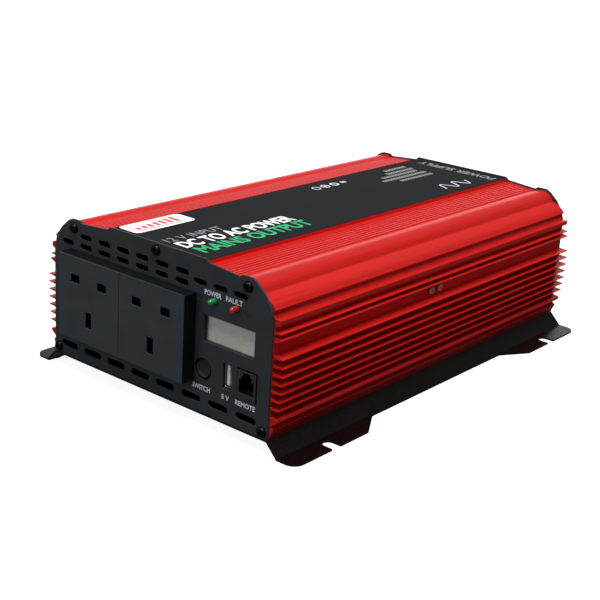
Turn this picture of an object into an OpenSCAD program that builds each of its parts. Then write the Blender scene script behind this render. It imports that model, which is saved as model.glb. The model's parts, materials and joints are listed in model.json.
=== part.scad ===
/* [Case] */
// Length over the outer faces of the two end panels
body_l = 298; // [288:1:308]
// Half width of the end panels, which is also the root line of the side fins
panel_half_w = 84; // [83.8:0.1:84.2]
// Height of the deck's top face above the surface that the feet stand on
deck_z = 9; // [9:0.5:10]
// Thickness of the end panels and of the base plate
sheet_t = 1.2; // [1:0.1:1.4]
// Reach of the longest side fin from the middle plane
fin_reach = 91.15; // [90.5:0.05:92]
// Spacing of the seven even side fins
fin_pitch = 4.7; // [4.6:0.05:4.75]

/* [Feet] */
// Reach of the four foot tabs from the middle plane
foot_reach = 103.7; // [102:0.1:106]
// Distance of each open slot from the nearest end of the case
slot_inset = 34; // [30:0.5:38]
// Half width of the open slots
slot_r = 3.6; // [3.2:0.1:4]

/* [Front panel] */
// How far the twin socket outlet stands out of the front panel
socket_proud = 9.2; // [9:0.1:11]
// Side of one square socket module
socket_side = 50; // [49.5:0.1:50.5]
// Radius of the round power button
button_r = 5.6; // [5.4:0.1:5.8]
// Travel of the power button
button_travel = 1.8; // [1.2:0.1:2]

/* [Rear panel] */
// How far the terminal knobs stand out of the rear panel
terminal_proud = 25; // [25:0.5:27]
// Side of the square cooling fan
fan_side = 60; // [60:0.5:61]

/* [Hidden] */
$fn = 64;

// Ends of the case: the origin is under the middle of the whole box
front_y = -(body_l + socket_proud + terminal_proud) / 2 + socket_proud;
rear_y = front_y + body_l;
case_y0 = front_y + sheet_t;
case_y1 = rear_y - sheet_t;

// Section of the case, measured up from the surface that the feet stand on
platform_half_w = 37.5;
platform_z = deck_z + 85.1;
label_t = 0.3;
rib_count = 9;
rib_pitch = 2.35;
rib_h = 0.6;
rib_x0 = platform_half_w + 0.7;
rib_z0 = deck_z + 83;
rib_fall = 0.07;
crest_centre = [66, deck_z + 73.4];
crest_r = 9.5;
lobe_centre = [72, deck_z + 61];
lobe_r = 16;
wall_x = 81.4;
root_x = panel_half_w + 0.2;
fin_z0 = deck_z + 45.9;
lower_flange_x = 70;
lower_flange_t = 3;

// Panel screws: top middle, top corners and bottom corners
screw_places = [[0, deck_z + 82.3], [66.7, deck_z + 79.1], [-66.7, deck_z + 79.1],
                [80.25, deck_z + 3.8], [-80.25, deck_z + 3.8]];
port_r = 3.4;
port_bore_r = 1.75;
screw_shank_r = 1.7;
screw_head_r = 2.95;
screw_head_h = 1.8;
// Two screws low in the smooth band of the right side, given as Y and Z
band_screw_places = [[front_y + 140.8, deck_z + 50.5], [front_y + 149.5, deck_z + 50.5]];

// Base plate
fold_x = panel_half_w - 0.2;
foot_x = fold_x + deck_z - sheet_t;
foot_tip_l = 63;
foot_root_l = 82;
foot_corner_r = 7;
slot_x = foot_reach - 5.3;
base_screw_x = 74.5;
base_screw_y = [for (part = [0.07, 0.35, 0.65, 0.93]) front_y + part * body_l];

// Sockets
socket_x = [-44.2, 5.8];
socket_z = deck_z + 41.8;
pin_pitch = 22.2;
pin_z = deck_z + 53.7;
pin_half = pin_pitch / 2;
live_w = 7.1;
live_h = 4.7;
earth_w = 4.7;
earth_h = 9.2;
face_wall = 4.4;
cutout_side = socket_side - 5.2;
shutter_t = 3;
shutter_travel = 6.2;

// Display group on the right of the front panel
lcd_x = 54.7;
lcd_z = deck_z + 48.7;
lcd_w = 35.8;
lcd_h = 15;
lcd_depth = 3;
led_z = deck_z + 65.3;
led_x = [43.9, 59.2];
led_r = 1.6;
led_proud = 3.2;
button_x = 37.1;
button_z = deck_z + 25.3;
usb_x = 54.7;
usb_z = deck_z + 26.3;
usb_w = 5.8;
usb_h = 13.2;
jack_x = 68;
jack_z = deck_z + 25;
jack_w = 13;
jack_h = 16.2;
display_pcb_y = front_y + 11;
display_pcb_t = 1.6;
display_screw_places = [[33.2, deck_z + 65.3], [66.4, deck_z + 64.2], [46.4, deck_z + 16.4]];

// Main board
pcb_z = deck_z + 6;
pcb_t = 1.6;
board_top = pcb_z + pcb_t;
pcb_half_w = 76;
pcb_y0 = front_y + 26;
pcb_y1 = rear_y - 32;
standoff_x = 66.6;
standoff_y = [pcb_y0 + 6, (pcb_y0 + pcb_y1) / 2, pcb_y1 - 6];
standoff_places = [for (x = [-standoff_x, standoff_x], y = standoff_y) [x, y]];

// Fan and terminals on the rear panel
fan_x = -44;
fan_z = deck_z + 37;
fan_t = 25;
fan_hole = 25;
fan_bore_r = 28.9;
fan_y0 = case_y1 - fan_t;
blade_tip_r = 28.2;
blade_count = 7;
rotor_hub_r = 14.5;
shaft_r = 1.5;
running_gap = 0.05;
terminal_x = [20, 58];
terminal_z = deck_z + 35;
stud_r = 4;
stud_seat = 7;
knob_r = 12;
earth_x = 39;
earth_z = deck_z + 11;
earth_r = 2.5;

// A box given by its low and high limits
module block(low, high) {
  translate(low) cube(high - low);
}

// A rod along Y
module rod_y(x, z, r, y0, y1) {
  translate([x, y0, z]) rotate([-90, 0, 0]) cylinder(r = r, h = y1 - y0);
}

// A tapered rod along Y
module cone_y(x, z, r0, r1, y0, y1) {
  translate([x, y0, z]) rotate([-90, 0, 0]) cylinder(r1 = r0, r2 = r1, h = y1 - y0);
}

// A hexagon bar along Y, given by its distance across flats
module hex_y(x, z, flats, y0, y1) {
  translate([x, y0, z]) rotate([-90, 0, 0]) cylinder(d = flats / cos(30), h = y1 - y0, $fn = 6);
}

// A flat outline drawn in X and Z, given a thickness along Y
module prism_y(y0, y1) {
  translate([0, y1, 0]) rotate([90, 0, 0]) linear_extrude(y1 - y0) children();
}

// A slot with round ends that runs along X and cuts through along Y
module slot_y(x, z, length, height, y0, y1) {
  reach = (length - height) / 2;
  block([x - reach, y0, z - height / 2], [x + reach, y1, z + height / 2]);
  for (side = [-1, 1]) rod_y(x + side * reach, z, height / 2, y0, y1);
}

// A wire that leaves along Y at a height, bends over and ends on the board below
module bent_wire(x, z, r, y0, y1, z_end) {
  bend_r = 6;
  rod_y(x, z, r, y0, y1 - bend_r);
  translate([x, y1 - bend_r, z - bend_r]) rotate([0, -90, 0])
    rotate_extrude(angle = 90) translate([bend_r, 0]) circle(r = r);
  translate([x, y1, z_end]) cylinder(r = r, h = z - bend_r - z_end);
}

// Right half of an outline followed by its mirror image
function both_sides(half) =
  concat(half, [for (i = [len(half) - 1:-1:0]) [-half[i][0], half[i][1]]]);

// Points along an arc, with angles in degrees
function arc(centre, r, a0, a1, steps) =
  [for (i = [0:steps]) let (a = a0 + (a1 - a0) * i / steps) centre + r * [cos(a), sin(a)]];

// One rib of the fine top strips: up, across and down
function rib(i) =
  let (x = rib_x0 + i * rib_pitch, z = rib_z0 - rib_fall * i * rib_pitch)
  [[x, z], [x + 0.45, z + rib_h], [x + 1.35, z + rib_h], [x + 1.8, z]];

// One pointed side fin
function fin(tip_x, z, root_half) =
  [[root_x, z + root_half], [tip_x, z + 0.25], [tip_x, z - 0.25], [root_x, z - root_half]];

// Reach of fin number i of the even seven, longest at the third
function even_fin_x(i) = fin_reach - 0.09 * (i - 2) * (i - 2);

case_outer = concat(
  [[platform_half_w, platform_z], [platform_half_w + 0.1, rib_z0]],
  [for (i = [0:rib_count - 1]) each rib(i)],
  [[rib_x0 + rib_count * rib_pitch, rib_z0 - rib_fall * rib_count * rib_pitch]],
  arc(crest_centre, crest_r, 112, 22, 14),
  arc(lobe_centre, lobe_r, 77, 39, 8),
  [[84.3, deck_z + 70.6], [82.5, deck_z + 69.7], [82.6, deck_z + 68.4], [root_x, deck_z + 66.2]],
  [[87.2, deck_z + 66.4], [87.7, deck_z + 65.9], [87.6, deck_z + 63.6], [root_x, deck_z + 61.8]],
  fin(88.7, deck_z + 59, 0.9),
  [[root_x, deck_z + 56.9], [89.3, deck_z + 56.05], [89.3, deck_z + 55.55]],
  [[panel_half_w, deck_z + 53.2], [panel_half_w, fin_z0 + 1.4]],
  [for (i = [0:6]) each fin(even_fin_x(i), fin_z0 - i * fin_pitch, 0.8)],
  [[root_x, deck_z + 13.2], [88.4, deck_z + 12.6], [88.8, deck_z + 11.9], [88.6, deck_z + 10.6]],
  [[85.1, deck_z + 8.2], [84.7, deck_z + 7.4], [86.6, deck_z + 6.2], [86.4, deck_z + 5.2]],
  [[fold_x, deck_z]]
);

case_inner = [
  [35, deck_z + 82.6], [36, deck_z + 79.4], [62, deck_z + 79.4], [73.5, deck_z + 75],
  [79.5, deck_z + 69.5], [wall_x, deck_z + 63], [wall_x, deck_z + lower_flange_t],
  [lower_flange_x, deck_z + lower_flange_t], [lower_flange_x, deck_z - 1]
];

module case_extrusion() {
  color("#c81a18") difference() {
    prism_y(case_y0, case_y1) difference() {
      polygon(both_sides(case_outer));
      difference() {
        polygon(both_sides(case_inner));
        for (p = screw_places) translate(p) circle(r = port_r);
      }
      for (p = screw_places) translate(p) circle(r = port_bore_r);
    }
    for (x = [-1, 1], y = base_screw_y)
      translate([x * base_screw_x, y, deck_z - 2]) cylinder(r = screw_shank_r + running_gap, h = 7);
    for (place = band_screw_places)
      translate([wall_x - 1, place[0], place[1]]) rotate([0, 90, 0]) cylinder(r = 1.55, h = 6);
  }
}

// Outline of one foot seen from above, with the tab at the low Y end
module foot_outline() {
  difference() {
    union() {
      polygon([[foot_x - 1.2, 0], [foot_reach - foot_corner_r, 0],
               [foot_reach, foot_corner_r], [foot_reach, foot_tip_l - 1],
               [foot_x, foot_root_l], [foot_x - 1.2, foot_root_l]]);
      translate([foot_reach - foot_corner_r, foot_corner_r]) circle(r = foot_corner_r);
    }
    translate([slot_x, slot_inset]) circle(r = slot_r);
    translate([slot_x, slot_inset - slot_r]) square([20, 2 * slot_r]);
  }
}

// The sloping flange of one side, as an outline in X and Z
flange_outline = [[fold_x, deck_z], [foot_x, sheet_t], [foot_x + 0.6, sheet_t],
                  [foot_x + 0.6, 0], [foot_x - 0.5, 0], [fold_x - 0.5, deck_z - sheet_t],
                  [0, deck_z - sheet_t], [0, deck_z]];

module base_plate() {
  color("#1b1d1f") difference() {
    union() {
      for (side = [0, 1]) mirror([side, 0, 0]) {
        prism_y(front_y, rear_y) polygon(flange_outline);
        translate([0, front_y, 0]) linear_extrude(sheet_t) foot_outline();
        translate([0, rear_y, 0]) mirror([0, 1, 0]) linear_extrude(sheet_t) foot_outline();
      }
    }
    for (x = [-1, 1], y = base_screw_y)
      translate([x * base_screw_x, y, deck_z - 3]) cylinder(r = screw_shank_r + running_gap, h = 5);
  }
}

// Outline that both end panels share
panel_half = [
  [36.9, deck_z + 86.3], [38.9, deck_z + 84.5], [60.3, deck_z + 82.8], [62.2, deck_z + 84.2],
  [68.6, deck_z + 84.2], [71.5, deck_z + 83], [77.6, deck_z + 77.8], [81.8, deck_z + 71.9],
  [83.9, deck_z + 65.8], [panel_half_w, deck_z + 0.1]
];

module panel_blank(y0) {
  difference() {
    prism_y(y0, y0 + sheet_t) polygon(both_sides(panel_half));
    for (p = screw_places) rod_y(p[0], p[1], screw_shank_r + 0.15, y0 - 1, y0 + 3);
  }
}

bottom_slots = [for (i = [0:7]) -70.7 + 19.9 * i];
upper_slots = [for (i = [0:5]) -56.8 + 15.3 * i];
lower_slots = [for (i = [0:6]) -72.1 + 15.3 * i];
corner_slots = [for (i = [0:2]) 33.1 + 14.25 * i];

module front_panel() {
  y0 = front_y - 1;
  y1 = front_y + 3;
  half = cutout_side / 2;
  color("#2a2f32") difference() {
    panel_blank(front_y);
    for (x = bottom_slots) slot_y(x, deck_z + 7.2, 14.2, 4.1, y0, y1);
    for (x = upper_slots) slot_y(x, deck_z + 75.5, 9.7, 3.3, y0, y1);
    for (x = lower_slots) slot_y(x, deck_z + 69.8, 9.7, 3.3, y0, y1);
    for (x = corner_slots) slot_y(x, deck_z + 72.9, 9.7, 3.3, y0, y1);
    for (x = socket_x) block([x - half, y0, socket_z - half], [x + half, y1, socket_z + half]);
    block([lcd_x - lcd_w / 2, y0, lcd_z - lcd_h / 2], [lcd_x + lcd_w / 2, y1, lcd_z + lcd_h / 2]);
    for (x = led_x) rod_y(x, led_z, led_r + 0.1, y0, y1);
    rod_y(button_x, button_z, button_r + 0.6, y0, y1);
    block([usb_x - 3.2, y0, usb_z - 7.2], [usb_x + 3.2, y1, usb_z + 7.2]);
    block([jack_x - 6.6, y0, jack_z - 8.2], [jack_x + 7.7, y1, jack_z + 9.2]);
    for (p = display_screw_places) cone_y(p[0], p[1], 2, 1.35, front_y - 0.01, front_y + sheet_t + 0.01);
  }
}

module rear_panel() {
  y0 = case_y1 - 1;
  y1 = rear_y + 1;
  color("#2a2f32") difference() {
    panel_blank(case_y1);
    rod_y(fan_x, fan_z, fan_bore_r - 0.4, y0, y1);
    for (x = [-1, 1], z = [-1, 1]) rod_y(fan_x + x * fan_hole, fan_z + z * fan_hole, 2.3, y0, y1);
    for (x = terminal_x) rod_y(x, terminal_z, 8.1, y0, y1);
    rod_y(earth_x, earth_z, earth_r + 0.1, y0, y1);
    for (i = [0:7]) slot_y(-56 + 16 * i, deck_z + 74, 10.5, 2.6, y0, y1);
    for (i = [0:2]) slot_y(16 + 18 * i, deck_z + 66, 10.5, 2.6, y0, y1);
  }
}

module top_label() {
  color("#303437")
    block([-platform_half_w + 0.2, case_y0, platform_z],
          [platform_half_w - 0.2, case_y1, platform_z + label_t]);
}

// A pan head screw whose head stands on a face that looks towards -Y
module front_screw(x, z) {
  cone_y(x, z, screw_head_r - 0.9, screw_head_r, front_y - screw_head_h, front_y - 0.7);
  rod_y(x, z, screw_head_r, front_y - 0.7, front_y);
  rod_y(x, z, screw_shank_r, front_y, front_y + 12);
}

// The cross recess of a pan head screw
module cross_recess(x, z, y0, y1) {
  block([x - 1.7, y0, z - 0.4], [x + 1.7, y1, z + 0.4]);
  block([x - 0.4, y0, z - 1.7], [x + 0.4, y1, z + 1.7]);
}

module front_screws() {
  color("#141516") difference() {
    for (p = screw_places) front_screw(p[0], p[1]);
    for (p = screw_places) cross_recess(p[0], p[1], front_y - 3, front_y - 1);
  }
}

module rear_screws() {
  color("#141516") difference() {
    translate([0, front_y + rear_y, 0]) mirror([0, 1, 0]) for (p = screw_places) front_screw(p[0], p[1]);
    for (p = screw_places) cross_recess(p[0], p[1], rear_y + 1, rear_y + 3);
  }
}

module base_screws() {
  color("#141516") for (x = [-1, 1], y = base_screw_y) translate([x * base_screw_x, y, 0]) {
    translate([0, 0, deck_z - sheet_t - 1.8]) cylinder(r = 2.9, h = 1.8);
    translate([0, 0, deck_z - sheet_t]) cylinder(r = screw_shank_r, h = sheet_t + lower_flange_t + 2);
  }
}

module band_screws() {
  head_x = panel_half_w;
  color("#b9b39a") for (place = band_screw_places) translate([0, place[0], place[1]]) {
    difference() {
      translate([head_x, 0, 0]) rotate([0, 90, 0]) cylinder(r = 2.6, h = 1.7);
      translate([head_x + 1, -1.4, -0.3]) cube([2, 2.8, 0.6]);
      translate([head_x + 1, -0.3, -1.4]) cube([2, 0.6, 2.8]);
    }
    translate([wall_x - 6, 0, 0]) rotate([0, 90, 0]) cylinder(r = 1.5, h = head_x - wall_x + 6);
  }
}

// Moulded front of one socket: a block with three apertures and a pocket behind
module socket_face(x) {
  half = socket_side / 2 - 0.1;
  pocket = cutout_side / 2 - 0.4;
  y0 = front_y - socket_proud;
  difference() {
    block([x - half, y0, socket_z - half], [x + half, front_y, socket_z + half]);
    block([x - pocket, y0 + face_wall, socket_z - pocket], [x + pocket, front_y + 1, socket_z + pocket]);
    pin_apertures(x, y0 - 1, y0 + face_wall + 1);
  }
}

// The live, neutral and earth apertures of one socket
module pin_apertures(x, y0, y1) {
  for (side = [-1, 1])
    block([x + side * pin_half - live_w / 2, y0, pin_z - live_h / 2],
          [x + side * pin_half + live_w / 2, y1, pin_z + live_h / 2]);
  block([x - earth_w / 2, y0, pin_z - pin_pitch - earth_h / 2],
        [x + earth_w / 2, y1, pin_z - pin_pitch + earth_h / 2]);
}

// Closed rear housing of one socket
module socket_back(x) {
  half = cutout_side / 2 - 0.4;
  difference() {
    block([x - half, front_y, socket_z - half], [x + half, front_y + 18, socket_z + half]);
    block([x - half + 2, front_y + 1.4, socket_z - half + 2],
          [x + half - 2, front_y + 16, socket_z + half - 2]);
    pin_apertures(x, front_y - 1, front_y + 2);
  }
}

module socket_backs() {
  color("#26292c") for (x = socket_x) socket_back(x);
}

// A brass sleeve that grips one pin
module pin_sleeve(x, z, w, h) {
  y0 = front_y + 1.6;
  difference() {
    block([x - w / 2 - 0.8, y0, z - h / 2 - 0.8], [x + w / 2 + 0.8, front_y + 16, z + h / 2 + 0.8]);
    block([x - w / 2, y0 - 1, z - h / 2], [x + w / 2, y0 + 12, z + h / 2]);
  }
}

module socket_contacts() {
  color("#c9a24a") for (x = socket_x) {
    for (side = [-1, 1]) pin_sleeve(x + side * pin_half, pin_z, live_w - 0.6, live_h - 0.6);
    pin_sleeve(x, pin_z - pin_pitch, earth_w - 0.6, earth_h - 0.6);
  }
}

// Sliding shutter: a cross bar over live and neutral, with a stem in front of the earth way
module shutter(x) {
  y0 = front_y - socket_proud + face_wall + 0.4;
  y1 = y0 + shutter_t;
  union() {
    block([x - pin_half - 4.6, y0, pin_z - 3.2], [x + pin_half + 4.6, y1, pin_z + 3.2]);
    block([x - 2.8, y0, pin_z - pin_pitch - 1], [x + 2.8, y1, pin_z - 3.2]);
  }
}

module lcd_frame() {
  half_w = lcd_w / 2;
  half_h = lcd_h / 2;
  color("#17191b") difference() {
    block([lcd_x - half_w - 2, case_y0, lcd_z - half_h - 3],
          [lcd_x + half_w + 2, front_y + 7, lcd_z + half_h + 3]);
    block([lcd_x - half_w, case_y0 - 1, lcd_z - half_h], [lcd_x + half_w, front_y + 8, lcd_z + half_h]);
  }
}

module lcd_window() {
  reach = [lcd_w / 2 - 0.05, 0.5, lcd_h / 2 - 0.05];
  centre = [lcd_x, front_y + lcd_depth - 0.6, lcd_z];
  color("#b8c2bc", 0.4) block(centre - reach, centre + reach);
}

module lcd_display() {
  reach = [lcd_w / 2 - 0.05, 1.6, lcd_h / 2 - 0.05];
  centre = [lcd_x, front_y + lcd_depth + 1.65, lcd_z];
  color("#8d9489") block(centre - reach, centre + reach);
}

// A 3 mm indicator lamp: dome, barrel, collar and two legs
module lamp(x) {
  translate([x, front_y - led_proud, led_z]) sphere(r = led_r);
  rod_y(x, led_z, led_r, front_y - led_proud, front_y + 5);
  rod_y(x, led_z, led_r + 0.4, case_y0 + 0.1, case_y0 + 1.1);
  for (side = [-1, 1]) rod_y(x + side * 1.27, led_z, 0.3, front_y + 4, display_pcb_y);
}

module power_led() {
  color("#28a84a") lamp(led_x[0]);
}

module fault_led() {
  color("#c52a24") lamp(led_x[1]);
}

module power_button() {
  color("#111213") {
    cone_y(button_x, button_z, button_r - 0.4, button_r, front_y + 0.2, front_y + 0.6);
    rod_y(button_x, button_z, button_r, front_y + 0.6, front_y + 2);
    rod_y(button_x, button_z, button_r + 1.4, front_y + 1.5, front_y + 2.6);
    rod_y(button_x, button_z, 2, front_y + 2.6, front_y + 8);
  }
}

module button_switch() {
  color("#222427") difference() {
    block([button_x - 6, front_y + 5.6, button_z - 6], [button_x + 6, display_pcb_y, button_z + 6]);
    rod_y(button_x, button_z, 2 + running_gap, front_y + 5, display_pcb_y - 0.6);
  }
}

module usb_shell() {
  wall = 0.4;
  color("#c4c7c9") difference() {
    block([usb_x - usb_w / 2, case_y0 + 0.1, usb_z - usb_h / 2],
          [usb_x + usb_w / 2, display_pcb_y, usb_z + usb_h / 2]);
    block([usb_x - usb_w / 2 + wall, front_y - 1, usb_z - usb_h / 2 + wall],
          [usb_x + usb_w / 2 - wall, display_pcb_y - wall, usb_z + usb_h / 2 - wall]);
  }
}

module usb_tongue() {
  color("#e8e8e4") {
    block([usb_x - 2.45, display_pcb_y - 2.4, usb_z - 6.15],
          [usb_x + 2.45, display_pcb_y - 0.45, usb_z + 6.15]);
    block([usb_x - 1.7, front_y + 2, usb_z - 5.5], [usb_x + 0.2, display_pcb_y - 2.4, usb_z + 5.5]);
  }
}

module remote_jack() {
  back = front_y + 9.6;
  color("#0e0f10") difference() {
    block([jack_x - jack_w / 2, front_y + 0.1, jack_z - jack_h / 2],
          [jack_x + jack_w / 2, display_pcb_y, jack_z + jack_h / 2]);
    block([jack_x - 5.1, front_y - 1, jack_z - 4.7], [jack_x + 5.1, back, jack_z + 3.1]);
    block([jack_x - 3.6, front_y - 1, jack_z + 3], [jack_x + 3.6, back, jack_z + 5.2]);
    block([jack_x - 2.4, front_y - 1, jack_z + 5.1], [jack_x + 2.4, back, jack_z + 7]);
  }
}

module remote_contacts() {
  color("#d2b04c") for (i = [0:5])
    block([jack_x - 2.8 + i * 1.02, front_y + 4, jack_z - 4.7],
          [jack_x - 2.3 + i * 1.02, front_y + 9.6, jack_z - 3.9]);
}

module display_pcb() {
  color("#1d5a34") difference() {
    block([30.4, display_pcb_y, deck_z + 9.5], [77.5, display_pcb_y + display_pcb_t, deck_z + 68.2]);
    for (p = display_screw_places) rod_y(p[0], p[1], 1.35, display_pcb_y - 1, display_pcb_y + 3);
  }
}

module display_spacers() {
  color("#b5b8ba") for (p = display_screw_places) difference() {
    rod_y(p[0], p[1], 2.4, case_y0, display_pcb_y);
    rod_y(p[0], p[1], 1.35, case_y0 - 1, display_pcb_y + 1);
  }
}

module display_screws() {
  color("#141516") for (p = display_screw_places) {
    cone_y(p[0], p[1], 1.95, 1.3, front_y, front_y + sheet_t);
    rod_y(p[0], p[1], 1.3, front_y + sheet_t, display_pcb_y + display_pcb_t + 1);
  }
}

module main_pcb() {
  color("#1d5a34") difference() {
    block([-pcb_half_w, pcb_y0, pcb_z], [pcb_half_w, pcb_y1, board_top]);
    for (p = standoff_places) translate([p[0], p[1], pcb_z - 1]) cylinder(r = 1.6, h = 4);
  }
}

module pcb_standoffs() {
  color("#b99a52") for (p = standoff_places) translate([p[0], p[1], deck_z]) difference() {
    cylinder(r = 3, h = pcb_z - deck_z);
    translate([0, 0, 1]) cylinder(r = 1.55, h = 10);
  }
}

module pcb_screws() {
  color("#b5b8ba") for (p = standoff_places) translate([p[0], p[1], 0]) {
    translate([0, 0, board_top]) cylinder(r = 2.8, h = 1.9);
    translate([0, 0, board_top - 5]) cylinder(r = 1.5, h = 5);
  }
}

// The two step-up transformers stand side by side near the terminals
transformer_places = [[-32, rear_y - 86], [32, rear_y - 86]];

module transformer_core() {
  difference() {
    translate([-26, -10, 0]) cube([52, 20, 44]);
    for (x = [-18, 8]) translate([x, -11, 8]) cube([10, 22, 28]);
  }
}

module transformer_cores() {
  color("#3b3d3f") for (p = transformer_places) translate([p[0], p[1], board_top]) transformer_core();
}

module transformer_winding() {
  difference() {
    union() {
      translate([-17.8, -11, 8.2]) cube([35.6, 22, 27.6]);
      for (y = [-11, 11]) translate([0, y, 8.2]) cylinder(r = 11, h = 27.6);
    }
    translate([-8.1, -10.1, 0]) cube([16.2, 20.2, 44]);
    for (y = [-1, 1]) translate([-30, y * 25 - 3, 0]) cube([60, 6, 44]);
  }
}

module transformer_windings() {
  color("#c7a52c") for (p = transformer_places) translate([p[0], p[1], board_top]) transformer_winding();
}

module input_capacitors() {
  color("#22262b") for (i = [0:3]) translate([-62 + 18 * i, rear_y - 50, board_top]) cylinder(r = 8, h = 30);
}

module bus_capacitors() {
  color("#1f2a44") for (x = [-16, 16]) translate([x, front_y + 152, board_top]) cylinder(r = 12.5, h = 42);
}

// Power transistors lie against both side walls, six on each. Their legs run in and down to the board
transistor_y = [for (i = [0:5]) front_y + 76 + 26 * i];
transistor_t = 4.6;
transistor_z0 = board_top + 14;
leg_half = 0.4;
leg_x = pcb_half_w - 2;

module transistor(y) {
  block([wall_x - transistor_t, y - 5, transistor_z0], [wall_x, y + 5, transistor_z0 + 16]);
  for (leg = [-1, 0, 1]) translate([0, y + leg * 2.54, 0]) {
    block([wall_x - 3, -leg_half, transistor_z0 - 3], [wall_x - 3 + 2 * leg_half, leg_half, transistor_z0]);
    block([leg_x, -leg_half, transistor_z0 - 3], [wall_x - 3 + 2 * leg_half, leg_half, transistor_z0 - 2.2]);
    block([leg_x, -leg_half, board_top], [leg_x + 2 * leg_half, leg_half, transistor_z0 - 2.2]);
  }
}

module transistors() {
  color("#191a1b") for (side = [0, 1]) mirror([side, 0, 0]) for (y = transistor_y) transistor(y);
}

clamp_bar_t = 3;

module clamp_bars() {
  color("#a9adb0") for (side = [-1, 1]) {
    x0 = side > 0 ? wall_x - transistor_t - clamp_bar_t : -wall_x + transistor_t;
    block([x0, transistor_y[0] - 10, board_top + 18],
          [x0 + clamp_bar_t, transistor_y[5] + 10, board_top + 27]);
  }
}

module band_transistors() {
  color("#191a1b") for (place = band_screw_places) difference() {
    block([wall_x - 2.8, place[0] - 4, place[1] - 6], [wall_x, place[0] + 4, place[1] + 5]);
    translate([wall_x - 5, place[0], place[1]]) rotate([0, 90, 0]) cylinder(r = 1.55, h = 8);
  }
}

// Output choke: a ring core inside its wound copper skin, lying flat on the board
choke_ring_r = 15;
choke_core_r = 5;
choke_skin_r = 7.2;
choke_place = [-46, front_y + 104, board_top + choke_skin_r];

module choke_core() {
  color("#2f4a3a") translate(choke_place)
    rotate_extrude() translate([choke_ring_r, 0]) circle(r = choke_core_r);
}

module choke_winding() {
  color("#b8652a") translate(choke_place) rotate_extrude() translate([choke_ring_r, 0]) difference() {
    circle(r = choke_skin_r);
    circle(r = choke_core_r + 0.1);
  }
}

module fuses() {
  color("#d68a1e") for (i = [0:2])
    block([32 + 6.4 * i, rear_y - 54, board_top], [32 + 6.4 * i + 5, rear_y - 35, board_top + 13]);
}

module control_pcb() {
  color("#1d5a34") block([-40, front_y + 186, board_top], [40, front_y + 187.6, board_top + 34]);
}

// Mains wires from the backs of both sockets down to the main board
module mains_wires(offset_x, z, reach_y) {
  for (x = socket_x) bent_wire(x + offset_x, z, 1.6, front_y + 18, front_y + reach_y, board_top);
}

module wire_live() {
  color("#7a4a2a") mains_wires(pin_half, pin_z, 36);
}

module wire_neutral() {
  color("#2e62a8") mains_wires(-pin_half, pin_z, 36);
}

module wire_earth() {
  color("#4f9a3a") mains_wires(0, pin_z - pin_pitch, 32);
}

// Copper straps from the studs down to the board
module busbars() {
  color("#b87333") for (x = terminal_x) difference() {
    union() {
      block([x - 7, rear_y - 11, board_top + 0.2], [x + 7, rear_y - 9, terminal_z + 9]);
      block([x - 5, rear_y - 58, board_top], [x + 5, rear_y - 9, board_top + 2]);
    }
    rod_y(x, terminal_z, stud_r + running_gap, rear_y - 20, rear_y);
  }
}

module fan_frame() {
  half = fan_side / 2;
  color("#17181a") translate([fan_x, fan_y0, fan_z]) difference() {
    union() {
      difference() {
        block([-half, 0, -half], [half, fan_t, half]);
        rod_y(0, 0, fan_bore_r, -1, fan_t + 1);
      }
      rod_y(0, 0, 15, 0, 2);
      block([-half + 0.5, 0, -2], [half - 0.5, 2, 2]);
      block([-2, 0, -half + 0.5], [2, 2, half - 0.5]);
      rod_y(0, 0, 3.4, 0, 15);
    }
    rod_y(0, 0, shaft_r + running_gap, 0.8, 16);
    for (x = [-1, 1], z = [-1, 1]) rod_y(x * fan_hole, z * fan_hole, 2.25, -1, fan_t + 1);
  }
}

module fan_stator() {
  color("#b8652a") translate([fan_x, fan_y0, fan_z]) difference() {
    rod_y(0, 0, 10.5, 3.2, 13);
    rod_y(0, 0, 3.45, 3, 14);
  }
}

module fan_rotor() {
  color("#1e2022") translate([fan_x, fan_y0, fan_z]) {
    difference() {
      rod_y(0, 0, rotor_hub_r, 3, 22);
      rod_y(0, 0, 12, 2, 20);
    }
    rod_y(0, 0, shaft_r, 1.2, 20.5);
    intersection() {
      for (i = [0:blade_count - 1]) rotate([0, i * 360 / blade_count, 0])
        translate([rotor_hub_r - 1, 12.5, 0]) rotate([38, 0, 0])
          translate([0, -11, -0.7]) cube([20, 22, 1.4]);
      difference() {
        rod_y(0, 0, blade_tip_r, 4, 22);
        rod_y(0, 0, rotor_hub_r - 0.5, 3, 23);
      }
    }
  }
}

// Wire guard over the fan: four rings on two crossed wires with an eye at each corner
module fan_guard() {
  wire_r = 0.9;
  y = rear_y + wire_r;
  reach = fan_hole * sqrt(2);
  color("#c8cbcd") translate([fan_x, y, fan_z]) {
    for (r = [7, 14, 21, 27.4])
      translate([0, 1.3, 0]) rotate([90, 0, 0])
        rotate_extrude() translate([r, 0]) circle(r = wire_r, $fn = 24);
    for (a = [45, -45]) rotate([0, a, 0])
      translate([-reach + 3, 0, 0]) rotate([0, 90, 0]) cylinder(r = wire_r, h = 2 * reach - 6, $fn = 24);
    for (a = [45:90:315]) rotate([0, a, 0]) translate([reach, 0, 0])
      rotate([90, 0, 0]) rotate_extrude() translate([3.2, 0]) circle(r = wire_r, $fn = 24);
  }
}

module fan_screws() {
  y = rear_y + 1.85;
  color("#141516") for (x = [-1, 1], z = [-1, 1]) difference() {
    union() {
      rod_y(fan_x + x * fan_hole, fan_z + z * fan_hole, 4.2, y, y + 1.8);
      rod_y(fan_x + x * fan_hole, fan_z + z * fan_hole, 2.2, rear_y - 12, y);
    }
    cross_recess(fan_x + x * fan_hole, fan_z + z * fan_hole, y + 0.9, y + 3);
  }
}

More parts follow.
